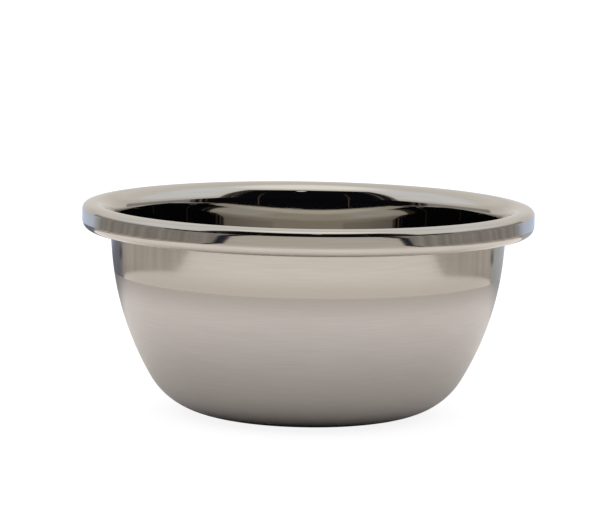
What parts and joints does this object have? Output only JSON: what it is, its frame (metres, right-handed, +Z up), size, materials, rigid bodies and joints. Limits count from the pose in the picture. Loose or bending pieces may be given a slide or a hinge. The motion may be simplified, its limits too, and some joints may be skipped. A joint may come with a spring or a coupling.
{
  "type": "shaving bowl",
  "caption": "Round stainless steel shaving bowl with a flat base, a bulging satin wall, a polished inside and a rolled, flanged rim.",
  "frame": {"origin": "middle of the underside of the base, which is the bottom centre of the bounding box", "axes": "+Z up along the bowl's axis of symmetry; X and Y are free, because the bowl is round"},
  "size_m": [0.12, 0.12, 0.0554],
  "materials": {
    "bowl_steel": "stainless steel sheet, mirror polished inside and round the rim, bright on the neck and satin brushed round the wall",
    "wire_steel": "bare drawn wire, hidden in the rim"
  },
  "bodies": {
    "root": {"bowl_shell": "bowl_steel", "rim_wire": "wire_steel"}
  },
  "joints": []
}
